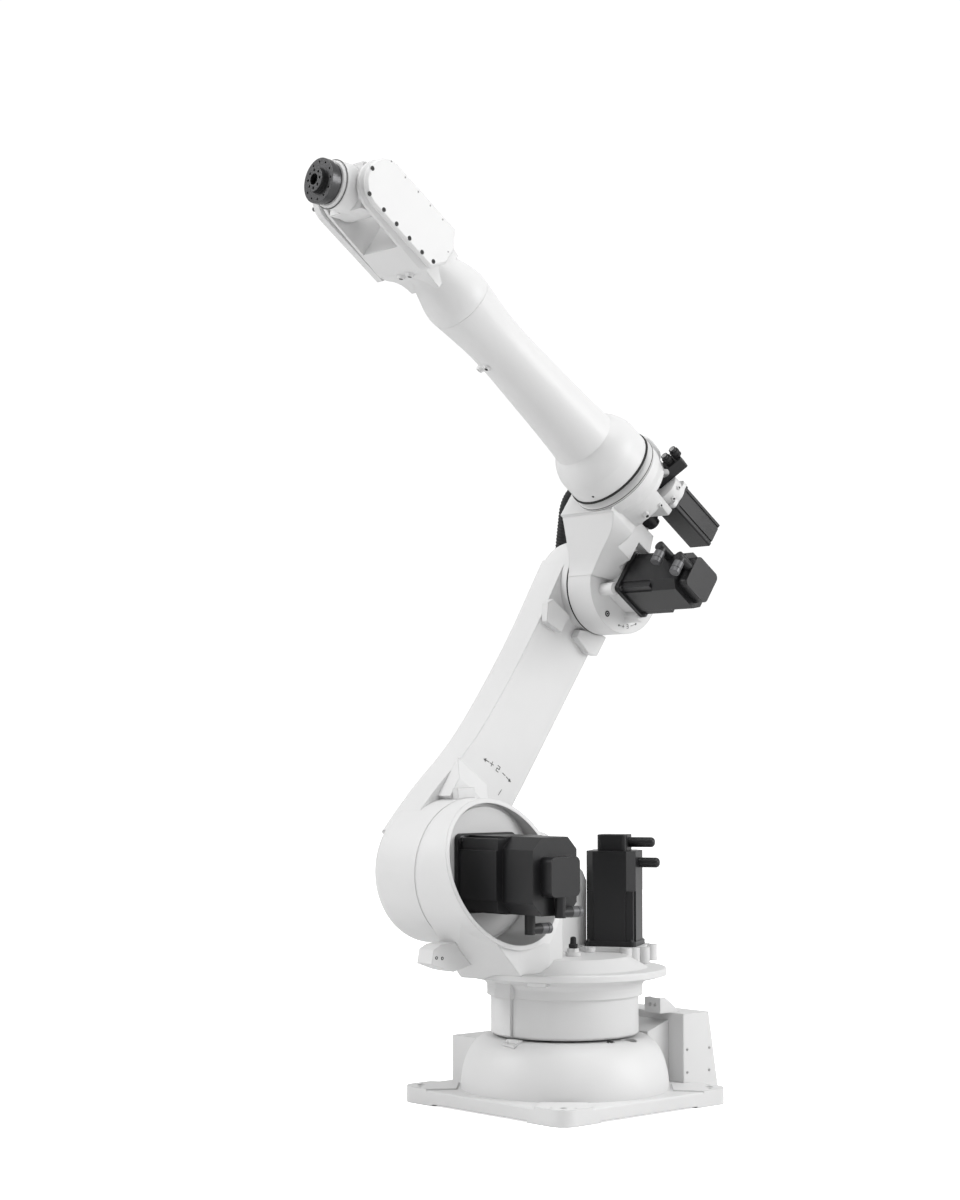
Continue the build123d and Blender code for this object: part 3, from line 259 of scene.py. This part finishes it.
class Shape:
    """Small turned and cut forms that share a body and a finish, in millimetres."""

    def __init__(self):
        self.points = []
        self.faces = []

    def turn(self, profile, at, axis, sides=24):
        """Turn rows of (radius, height) about an axis; a row with a third value is a hexagon.

        The radius of such a row is measured to the hexagon's corners.
        """
        axis = Vector(axis).normalized()
        across = axis.orthogonal().normalized()
        other = axis.cross(across)
        start = len(self.points)
        for row in profile:
            for k in range(sides):
                angle = 2 * math.pi * k / sides
                radius = row[0]
                if len(row) > 2:
                    radius *= math.cos(math.pi / 6) / math.cos(angle % (math.pi / 3) - math.pi / 6)
                spoke = across * math.cos(angle) + other * math.sin(angle)
                self.points.append(Vector(at) + axis * row[1] + spoke * radius)
        for r in range(len(profile) - 1):
            for k in range(sides):
                a = start + r * sides + k
                b = start + r * sides + (k + 1) % sides
                self.faces.append((a, b, b + sides, a + sides))
        self.faces.append(tuple(reversed(range(start, start + sides))))
        self.faces.append(tuple(range(start + (len(profile) - 1) * sides, start + len(profile) * sides)))

    def ring(self, profile, at, axis, sides=48):
        """Closed band: rows of (radius, height) go once round its section."""
        axis = Vector(axis).normalized()
        across = axis.orthogonal().normalized()
        other = axis.cross(across)
        start = len(self.points)
        for row in profile:
            for k in range(sides):
                angle = 2 * math.pi * k / sides
                spoke = across * math.cos(angle) + other * math.sin(angle)
                self.points.append(Vector(at) + axis * row[1] + spoke * row[0])
        count = len(profile)
        for r in range(count):
            for k in range(sides):
                a = start + r * sides + k
                b = start + r * sides + (k + 1) % sides
                c = start + ((r + 1) % count) * sides + (k + 1) % sides
                d = start + ((r + 1) % count) * sides + k
                self.faces.append((a, b, c, d))

    def cut(self, outline, at, x_dir, y_dir, depth):
        """Plate with a flat outline of (x, y) pairs, its thickness along x_dir cross y_dir."""
        x_dir = Vector(x_dir).normalized()
        y_dir = Vector(y_dir).normalized()
        normal = x_dir.cross(y_dir)
        start = len(self.points)
        count = len(outline)
        for level in (0.0, depth):
            for x, y in outline:
                self.points.append(Vector(at) + x_dir * x + y_dir * y + normal * level)
        for k in range(count):
            b = (k + 1) % count
            self.faces.append((start + k, start + b, start + count + b, start + count + k))
        self.faces.append(tuple(reversed(range(start, start + count))))
        self.faces.append(tuple(range(start + count, start + 2 * count)))

    def arc_band(self, radius, width, first, last, at, x_dir, y_dir, depth, steps):
        """Thin flat arc between two angles in degrees."""
        outer = []
        inner = []
        for k in range(steps + 1):
            angle = math.radians(first + (last - first) * k / steps)
            outer.append(((radius + width / 2) * math.cos(angle), (radius + width / 2) * math.sin(angle)))
            inner.append(((radius - width / 2) * math.cos(angle), (radius - width / 2) * math.sin(angle)))
        self.cut(outer + inner[::-1], at, x_dir, y_dir, depth)

    def make(self, name, body, material, bevel=0.0):
        """Object of the forms so far, riding on a body."""
        mesh = bpy.data.meshes.new(name)
        mesh.from_pydata([p / 1000 for p in self.points], [], self.faces)
        shape = bmesh.new()
        shape.from_mesh(mesh)
        bmesh.ops.recalc_face_normals(shape, faces=shape.faces)
        shape.to_mesh(mesh)
        shape.free()
        mesh.shade_smooth()
        mesh.set_sharp_from_angle(angle=SHARP_ANGLE)
        mesh.materials.append(material)
        piece = bpy.data.objects.new(name, mesh)
        scene.collection.objects.link(piece)
        if bevel:
            rounding = piece.modifiers.new("rounding", "BEVEL")
            rounding.width = bevel / 1000
            rounding.segments = 2
            rounding.limit_method = "ANGLE"
            rounding.angle_limit = BEVEL_ANGLE
        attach(piece, body)


def corners(box):
    """Low and high corner of a box in metres, in millimetres."""
    return Vector(box[0]) * 1000, Vector(box[1]) * 1000


def cap_screw(shape, at, axis, radius, height):
    """Socket-head cap screw on a washer."""
    shape.turn([
        (1.35 * radius, -0.4), (1.35 * radius, 0.5), (radius, 0.6), (radius, height - 0.15 * radius),
        (0.86 * radius, height), (0.58 * radius, height, 6), (0.52 * radius, height - 0.1 * radius, 6),
        (0.5 * radius, 0.35 * height, 6), (0.1 * radius, 0.25 * height)], at, axis)


def countersunk(shape, dark, at, axis, radius):
    """Screw sunk in a cover: a shallow head with a socket, and a dark hexagon in the socket as painted shade
    of its depth.
    """
    shape.turn([
        (radius, -0.6), (radius, 0.25), (0.9 * radius, 0.6), (0.56 * radius, 0.75), (0.5 * radius, 0.3, 6),
        (0.2 * radius, 0.2)], at, axis)
    # Dark hexagon in the socket: painted shade of the socket's depth
    dark.turn([(0.5 * radius, 0.1, 6), (0.5 * radius, 0.42, 6)], at, axis, 12)


def boss(shape, dark, at, axis, radius, height):
    """Cast boss with a chamfered, threaded hole; a dark disc in the hole is painted shade of its depth."""
    shape.turn([
        (1.25 * radius, -4.0), (1.15 * radius, 0.3 * height), (radius, 0.6 * height),
        (radius, height - 0.6), (radius - 0.6, height), (0.55 * radius, height),
        (0.45 * radius, height - 0.8), (0.42 * radius, height - 2.0), (0.1 * radius, height - 2.2)], at, axis)
    # Dark disc at the mouth of the hole: painted shade of the hole's depth
    dark.turn([(0.5 * radius, height - 2.4), (0.5 * radius, height + 0.1)], at, axis, 16)


def plus_sign(shape, at, x_dir, y_dir, size, width, depth):
    """Plus sign in the plane of two directions."""
    s = size / 2
    w = width / 2
    shape.cut([
        (-s, -w), (-w, -w), (-w, -s), (w, -s), (w, -w), (s, -w), (s, w), (w, w), (w, s), (-w, s), (-w, w),
        (-s, w)], at, x_dir, y_dir, depth)


def minus_sign(shape, at, x_dir, y_dir, size, width, depth):
    """Minus sign in the plane of two directions."""
    s = size / 2
    w = width / 2
    shape.cut([(-s, -w), (s, -w), (s, w), (-s, w)], at, x_dir, y_dir, depth)


# Strokes of the numerals: a, g, d are the bars from top to bottom, b, c the right posts, e the lower left one
SEGMENTS = {2: "abged", 3: "abgcd"}


def numeral(shape, digit, at, x_dir, y_dir, height, stroke, depth):
    """Numeral of straight strokes, as on a gauge."""
    half = height / 2
    side = 0.3 * height
    bars = {"a": (-side, side, half), "g": (-side, side, 0), "d": (-side, side, -half)}
    posts = {"b": (side, 0, half), "c": (side, -half, 0), "e": (-side, -half, 0)}
    w = stroke / 2
    for key in SEGMENTS[digit]:
        if key in bars:
            low, high, y = bars[key]
            shape.cut([(low - w, y - w), (high + w, y - w), (high + w, y + w), (low - w, y + w)],
                      at, x_dir, y_dir, depth)
        else:
            x, low, high = posts[key]
            shape.cut([(x - w, low), (x + w, low), (x + w, high), (x - w, high)], at, x_dir, y_dir, depth)


# Turn marks at scale 1: places along the row from its middle, and sizes
MARK_DEPTH = 0.35
MARK_STROKE = 2.0
ARROW_START, ARROW_END, ARROW_TIP = 34, 48, 46
ARROW_LENGTH, ARROW_HALF_WIDTH = 9, 5
SIGN_PLACE = 24
PLUS_SIZE, NUMERAL_HEIGHT, MINUS_SIZE = 13, 14, 12


def turn_marks(shape, centre, radius, middle, reading, digit, scale):
    """Arrow, plus, axis number, minus and arrow in a row about an axis that runs along y."""
    stroke = MARK_STROKE * scale

    def spot(along):
        angle = math.radians(middle) + reading * along * scale / radius
        spoke = FRONT * math.cos(angle) + TOP * math.sin(angle)
        tangent = TOP * math.cos(angle) - FRONT * math.sin(angle)
        return centre + spoke * radius, tangent * reading, spoke * reading

    for side in (-1, 1):
        first = middle + math.degrees(side * ARROW_START * scale / radius)
        last = middle + math.degrees(side * ARROW_END * scale / radius)
        shape.arc_band(radius, stroke, first, last, centre, FRONT, TOP, -MARK_DEPTH, 6)
        at, x_dir, y_dir = spot(side * ARROW_TIP)
        half_width = ARROW_HALF_WIDTH * scale
        tip = [(0, -half_width), (side * ARROW_LENGTH * scale, 0), (0, half_width)]
        shape.cut(tip if side > 0 else tip[::-1], at, x_dir, y_dir, MARK_DEPTH)
    at, x_dir, y_dir = spot(-SIGN_PLACE)
    plus_sign(shape, at, x_dir, y_dir, PLUS_SIZE * scale, stroke, MARK_DEPTH)
    at, x_dir, y_dir = spot(0)
    numeral(shape, digit, at, x_dir, y_dir, NUMERAL_HEIGHT * scale, stroke, MARK_DEPTH)
    at, x_dir, y_dir = spot(SIGN_PLACE)
    minus_sign(shape, at, x_dir, y_dir, MINUS_SIZE * scale, stroke, MARK_DEPTH)


# Base: screws of the connector box and its panel
BOX_SIDE_Y = 142.0
PANEL_INSET = 10
base_screws = Shape()
for x, z in ((-263, 111), (-340, 109), (-263, 58), (-339, 57)):
    cap_screw(base_screws, (x, BOX_SIDE_Y, z), SIDE, 2.6, 2.0)
panel_low, panel_high = corners(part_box("connector_panel"))
for y in (panel_low.y + PANEL_INSET, panel_high.y - PANEL_INSET):
    for z in (panel_low.z + PANEL_INSET, panel_high.z - PANEL_INSET):
        cap_screw(base_screws, (panel_low.x, y, z), -FRONT, 4.0, 3.0)
base_screws.make("base_screws", "base", bright_steel)

nipple_axis = Vector((0.03, 0.36, 0.93))
nipple_at = (29, 179, 153.6)
nipple = Shape()
nipple.ring([
    (6.0, -3.0), (10.5, -3.0), (10.5, 0.8), (9.6, 1.6), (6.8, 1.6), (6.0, 0.8)], nipple_at, nipple_axis)
nipple.make("dome_nipple_rim", "base", dark_marks_and_shade)
nipple_core = Shape()
nipple_core.turn([
    (4.6, -3.0), (4.6, 1.0), (3.4, 2.4), (2.2, 2.8), (2.2, 4.4), (1.4, 5.0)], nipple_at, nipple_axis)
nipple_core.make("dome_nipple", "base", dark_steel)

BRACKET_INSET = 17
BRACKET_DROP = 16
bracket_low, bracket_high = corners(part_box("cable_bracket"))
bracket_screws = Shape()
for y in (bracket_low.y + BRACKET_INSET, bracket_high.y - BRACKET_INSET):
    cap_screw(bracket_screws, (bracket_high.x, y, bracket_high.z - BRACKET_DROP), FRONT, 3.4, 2.0)
bracket_screws.make("bracket_screws", "base", white_iron)

zero_low, zero_high = corners(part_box("zero_block"))
zero_middle = (zero_low.y + zero_high.y) / 2
zero_line = Shape()
zero_line.cut([(-0.6, -8), (0.6, -8), (0.6, 0), (-0.6, 0)], (zero_high.x, zero_middle, zero_high.z),
              SIDE, TOP, 0.3)
zero_line.make("zero_line", "base", mark_grey)

# Carousel: flange screws of the shoulder motor and of the waist motor, which stands turned
MOTOR_FLANGE = 12.0
MOTOR1_AT = (-188.0, -20.0)
MOTOR1_TURN = math.radians(32.0)
MOTOR1_HOLE = 52
MOTOR2_SEAT = -37.0
MOTOR2_HOLE = 76
carousel_screws = Shape()
for x in (-MOTOR2_HOLE, MOTOR2_HOLE):
    for z in (-MOTOR2_HOLE, MOTOR2_HOLE):
        cap_screw(carousel_screws, SHOULDER + Vector((x, MOTOR2_SEAT + MOTOR_FLANGE, z)), SIDE, 7.0, 7.0)
motor1_foot = Vector(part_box("j1_motor")[0]).z * 1000
motor1_centre = Vector((*MOTOR1_AT, motor1_foot + MOTOR_FLANGE))
motor1_out = Vector((math.cos(MOTOR1_TURN), math.sin(MOTOR1_TURN), 0))
motor1_left = Vector((-math.sin(MOTOR1_TURN), math.cos(MOTOR1_TURN), 0))
for a in (-MOTOR1_HOLE, MOTOR1_HOLE):
    for b in (-MOTOR1_HOLE, MOTOR1_HOLE):
        cap_screw(carousel_screws, motor1_centre + motor1_out * a + motor1_left * b, TOP, 5.0, 5.0)
carousel_screws.make("motor_flange_screws", "carousel", dark_steel)

bumper_high = corners(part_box("stop_bumper"))[1]
bumper_pins = Shape()
for x, z in ((374, 351), (357, 349)):
    bumper_pins.turn([
        (4.0, -2.0), (4.0, 0.3), (3.4, 0.8), (2.2, 0.9), (1.8, -0.6), (0.4, -0.8)],
        (x, bumper_high.y, z), SIDE, 16)
bumper_pins.make("bumper_pins", "carousel", black_screw)

gland_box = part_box("cable_gland")
gland_top = Vector((
    (gland_box[0][0] + gland_box[1][0]) / 2, (gland_box[0][1] + gland_box[1][1]) / 2, gland_box[1][2])) * 1000
gland_plug = Shape()
gland_plug.turn([
    (9.0, -2.0), (9.6, 1.0), (10.5, 2.0), (10.5, 9.0), (9.6, 10.0), (7.4, 10.2), (7.0, 22.0), (6.2, 25.0),
    (3.5, 26.5), (0.6, 27.0)], gland_top, TOP)
gland_plug.make("gland_plug", "carousel", black_rubber)

# Steel sleeve of a motor plug
SLEEVE = [(11.6, 0.0), (12.6, 0.4), (12.6, 17.0), (11.8, 17.6), (11.8, 19.0), (12.6, 19.4), (12.6, 29.6),
          (11.6, 30.6), (7.4, 30.7), (7.0, 30.2), (0.8, 30.2)]
shoulder_sleeves = Shape()
for y, z in ((212.0, 456.0), (115.0, 414.0)):
    shoulder_sleeves.turn(SLEEVE, (190.0, y, z), -FRONT)
shoulder_sleeves.make("shoulder_plug_sleeves", "carousel", plug_steel)

# A white dust seal in the joint gap of axis 2, and a dark ring flush in the joint gap of axis 3 that is
# painted shade of the gap
shoulder_seal = Shape()
shoulder_seal.ring([(158.0, -82.6), (167.2, -82.6), (167.2, -78.4), (158.0, -78.4)],
                   (SHOULDER.x, 0, SHOULDER.z), SIDE, 128)
shoulder_seal.make("shoulder_seal", "carousel", white_iron)
# Dark ring filling the elbow's joint gap: painted shade of the gap
elbow_gap_shade = Shape()
elbow_gap_shade.ring([(108.0, -129.7), (117.8, -129.7), (117.8, -125.3), (108.0, -125.3)],
                (ELBOW.x, 0, ELBOW.z), SIDE, 96)
elbow_gap_shade.make("elbow_gap_shade", "upper_arm", dark_marks_and_shade)

# Lower arm: marks of axis 2 on the beam and the index line
BEAM_MARK_Y = -150.0
axis2_marks = Shape()
turn_marks(axis2_marks, Vector((SHOULDER.x, BEAM_MARK_Y, SHOULDER.z)), 277.0, 122.5, 1, 2, 0.95)
index_out = Vector((-0.65, 0, 0.76))
axis2_marks.cut([(-0.9, -9), (0.9, -9), (0.9, 9), (-0.9, 9)], Vector((65, BEAM_MARK_Y, 712)),
                index_out.cross(SIDE), index_out, -MARK_DEPTH)
axis2_marks.make("axis_2_marks", "lower_arm", mark_grey)

# Upper arm: flange screws of the elbow motor
ELBOW_WEB_Y = -47.0
MOTOR3_SEAT = -4.0
MOTOR3_HOLE = 51
upper_screws = Shape()
motor3_centre = ELBOW + SIDE * (MOTOR3_SEAT + MOTOR_FLANGE)
for a in (-MOTOR3_HOLE, MOTOR3_HOLE):
    for b in (-MOTOR3_HOLE, MOTOR3_HOLE):
        cap_screw(upper_screws, motor3_centre + ALONG * a + UP * b, SIDE, 5.4, 5.4)
upper_screws.make("elbow_motor_screws", "upper_arm", dark_steel)

upper_bosses = Shape()
upper_hole_shade = Shape()
for at, out in (((-278, 109.5, 1440), (-0.06, 0.99, 0.09)), ((-267, 104, 1415), (0.32, 0.83, -0.46)),
                ((-229, 97, 1396), (0.12, 0.95, -0.29))):
    boss(upper_bosses, upper_hole_shade, at, out, 5.0, 5.0)
boss(upper_bosses, upper_hole_shade, fore(138.0, 74.0, -66.0), SIDE * 0.75 - UP * 0.55 - ALONG * 0.2, 8.0, 12.0)
upper_bosses.make("casting_bosses", "upper_arm", white_iron)

# Plug and marks of axis 3, on the web behind the elbow motor
elbow_marks = Shape()
plug_at = Vector((-194.0, ELBOW_WEB_Y, 1141.0))
elbow_marks.ring([(4.4, -0.5), (7.4, -0.5), (7.4, 0.8), (4.4, 0.8)], plug_at, SIDE)
elbow_marks.turn([(2.2, 0.0), (2.2, 1.4), (1.4, 1.6)], plug_at, SIDE, 12)
turn_marks(elbow_marks, Vector((ELBOW.x, ELBOW_WEB_Y, ELBOW.z)), 100.0, -95.0, -1, 3, 0.62)
elbow_marks.make("elbow_marks", "upper_arm", dark_marks_and_shade)
# Dark discs in the boss holes: painted shade of the holes
upper_hole_shade.make("casting_boss_hole_shade", "upper_arm", dark_marks_and_shade)

LUG_THICKNESS = 16
lug = Shape()
lug_angle = math.atan2(99, 52)
lug_out = SIDE * math.cos(lug_angle) + UP * math.sin(lug_angle)
lug_across = ALONG.cross(lug_out)
lug.cut([
    (150, 96), (160, 112), (172, 119), (206, 121.5), (222, 120), (234, 112), (238, 100)],
    AXIS4_START - lug_across * (LUG_THICKNESS / 2), ALONG, lug_out, LUG_THICKNESS)
lug.make("casting_lug", "upper_arm", white_iron, bevel=3.0)

# Dark ring in the groove where the forearm turns on axis 4: painted shade of the groove
axis4_gap_shade = Shape()
axis4_gap_shade.ring([
    (104.0, 238.6), (111.3, 238.6), (111.3, 241.5), (109.4, 243.0), (104.0, 243.0)], AXIS4_START, ALONG, 96)
axis4_gap_shade.make("axis_4_gap_shade", "upper_arm", dark_marks_and_shade)

# The two round connectors of the rear block and the light disc beside them
connector_nuts = Shape()
connector_faces = Shape()
for y, rise in ((95, 76), (110, 95)):
    at = fore(158.0, y, rise)
    connector_nuts.turn([
        (11.0, 0.0), (11.0, 6.0), (10.2, 7.0), (9.6, 7.2), (9.6, 9.0), (11.6, 9.4), (11.6, 16.5),
        (10.8, 17.4), (9.4, 17.6)], at, ALONG)
    connector_faces.turn([(6.6, 24.0), (6.6, 24.8), (4.2, 25.0), (4.0, 24.3), (0.6, 24.2)], at, ALONG)
connector_faces.turn([
    (11.5, -0.8), (11.5, 0.8), (10.6, 1.4), (7.0, 1.4), (5.0, 2.6), (1.0, 2.8)], (-250, 92, 1475),
    (0.38, 0.75, -0.54))
connector_nuts.make("connector_nuts", "upper_arm", black_rubber)
connector_faces.make("connector_faces", "upper_arm", bright_steel)

elbow_sleeves = Shape()
for x, y, rise in ((86.7, 127.1, -148.0), (74.0, 191.6, -174.0)):
    elbow_sleeves.turn(SLEEVE, fore(x, y, rise), -UP)
elbow_sleeves.make("elbow_plug_sleeves", "upper_arm", plug_steel)

ring_seam = Shape()
ring_seam.ring([(111.4, 218.2), (112.3, 218.2), (112.3, 220.2), (111.4, 220.2)], AXIS4_START, ALONG, 96)
ring_seam.make("ring_seam", "upper_arm", dark_marks_and_shade)

# Forearm
# Small dark dot at a pin hole in the flange: painted shade of the hole
flange_pin_hole_shade = Shape()
flange_pin_hole_shade.turn([(3.0, -1.0), (3.0, 0.3), (1.0, 0.4)], fore(258, 20, -106.2), SIDE * 0.18 - UP * 0.98, 12)
flange_pin_hole_shade.make("flange_pin_hole_shade", "forearm", dark_marks_and_shade)
tube_seam = Shape()
tube_seam.ring([(67.6, -0.5), (68.75, -0.5), (68.75, 0.5), (67.6, 0.5)], fore(824), ALONG, 72)
tube_seam.make("tube_seam", "forearm", mark_grey)

# Screws of the wrist covers: the lower row and the rest of the +Y cover, then those of the -Y cover
COVER_LEFT_Y = 90.0
COVER_RIGHT_Y = -104.0
cover_screws = Shape()
edge_screws = Shape()
cover_socket_shade = Shape()
for x, rise in ((1208, -51), (1159, -51), (1115, -51), (1070, -51), (1026, -51), (990, -45), (1234, 0)):
    countersunk(edge_screws, cover_socket_shade, fore(x, COVER_LEFT_Y, rise), SIDE, 5.4)
for x, rise in ((1205, 50), (1156, 50), (1111, 50), (1068, 50), (1024, 50), (971, 2)):
    countersunk(cover_screws, cover_socket_shade, fore(x, COVER_LEFT_Y, rise), SIDE, 2.8)
for x, rise in ((1208, -50), (1159, -50), (1070, -50), (990, -42),
                (1205, 50), (1156, 50), (1068, 50), (971, 2)):
    countersunk(cover_screws, cover_socket_shade, fore(x, COVER_RIGHT_Y, rise), -SIDE, 5.0)
edge_screws.make("cover_edge_screws", "forearm", black_screw)
cover_screws.make("cover_screws", "forearm", bright_steel)
# Dark hexagons in the screw sockets: painted shade of the sockets
cover_socket_shade.make("cover_socket_shade", "forearm", dark_marks_and_shade)

fore_bosses = Shape()
fore_hole_shade = Shape()
for y in (-9, 21):
    boss(fore_bosses, fore_hole_shade, fore(987, y, -63), (0.18, 0, -0.98), 9.0, 9.0)
boss(fore_bosses, fore_hole_shade, fore(668, -40, -51), (0.5, -0.45, -0.74), 8.0, 9.0)
boss(fore_bosses, fore_hole_shade, fore(678, -2, -62), (0.56, 0.04, -0.83), 8.0, 9.0)
fore_bosses.make("forearm_bosses", "forearm", white_aluminium)
# Dark discs in the boss holes: painted shade of the holes
fore_hole_shade.make("forearm_boss_hole_shade", "forearm", dark_marks_and_shade)

# Hand
hand_seam = Shape()
hand_seam.ring([(53.0, -0.5), (55.2, -0.5), (55.2, 0.5), (53.0, 0.5)], hand(84.5), HAND, 72)
hand_seam.make("hand_seam", "hand", mark_grey)

# Ribbed hose from the hub of joint 3 to the elbow casting, in metres
HOSE_POINTS = (
    (-0.2549, -0.2626, 1.2123), (-0.2549, -0.2920, 1.2123), (-0.2669, -0.3140, 1.2323),
    (-0.2909, -0.3080, 1.2903), (-0.2879, -0.2940, 1.3723), (-0.2709, -0.2640, 1.4453),
    (-0.2689, -0.1960, 1.4803), (-0.2769, -0.1340, 1.4803), (-0.2769, -0.0960, 1.4803))
HOSE_RADIUS = 0.016
HOSE_PITCH = 0.0085
HOSE_GROOVE = 0.0016
GROOVE_POWER = 1.5
STEPS_PER_RIB = 8
HOSE_SIDES = 28
route_curve = bpy.data.curves.new("hose_route", "CURVE")
route_curve.dimensions = "3D"
route_curve.resolution_u = 40
route_spline = route_curve.splines.new("NURBS")
route_spline.points.add(len(HOSE_POINTS) - 1)
for point, place in zip(route_spline.points, HOSE_POINTS):
    point.co = (*place, 1)
route_spline.order_u = 3
route_spline.use_endpoint_u = True
route_object = bpy.data.objects.new("hose_route", route_curve)
scene.collection.objects.link(route_object)
bpy.context.view_layer.update()
route_mesh = bpy.data.meshes.new_from_object(route_object)
route = [v.co.copy() for v in route_mesh.vertices]
bpy.data.objects.remove(route_object)


def even_points(points, spacing):
    """Points at even spacing along a polyline."""
    total = sum((b - a).length for a, b in zip(points, points[1:]))
    count = max(2, round(total / spacing))
    step = total / count
    result = [points[0].copy()]
    need = step
    for a, b in zip(points, points[1:]):
        run = (b - a).length
        at = 0.0
        while run - at >= need - 1e-9:
            at += need
            result.append(a.lerp(b, at / run))
            need = step
        need -= run - at
    if len(result) <= count:
        result.append(points[-1].copy())
    return result, step


hose_line, hose_step = even_points(route, HOSE_PITCH / STEPS_PER_RIB)
hose_points = []
hose_faces = []
normal = Vector((1, 0, 0))
for k, at in enumerate(hose_line):
    ahead = hose_line[min(k + 1, len(hose_line) - 1)]
    behind = hose_line[max(k - 1, 0)]
    along = (ahead - behind).normalized()
    normal = (normal - along * normal.dot(along)).normalized()
    other = along.cross(normal)
    wave = 0.5 + 0.5 * math.cos(2 * math.pi * k * hose_step / HOSE_PITCH)
    radius = HOSE_RADIUS - HOSE_GROOVE * wave ** GROOVE_POWER
    for j in range(HOSE_SIDES):
        angle = 2 * math.pi * j / HOSE_SIDES
        hose_points.append(at + (normal * math.cos(angle) + other * math.sin(angle)) * radius)
for k in range(len(hose_line) - 1):
    for j in range(HOSE_SIDES):
        a = k * HOSE_SIDES + j
        b = k * HOSE_SIDES + (j + 1) % HOSE_SIDES
        hose_faces.append((a, b, b + HOSE_SIDES, a + HOSE_SIDES))
hose_faces.append(tuple(reversed(range(HOSE_SIDES))))
hose_faces.append(tuple(range(len(hose_points) - HOSE_SIDES, len(hose_points))))
hose_mesh = bpy.data.meshes.new("ribbed_hose")
hose_mesh.from_pydata(hose_points, [], hose_faces)
hose_mesh.shade_smooth()
hose_mesh.materials.append(black_rubber)
hose = bpy.data.objects.new("ribbed_hose", hose_mesh)
scene.collection.objects.link(hose)
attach(hose, "upper_arm")
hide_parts("elbow_hose")
hose_length = sum((b - a).length for a, b in zip(hose_line, hose_line[1:]))
print("hose length", round(hose_length, 4))
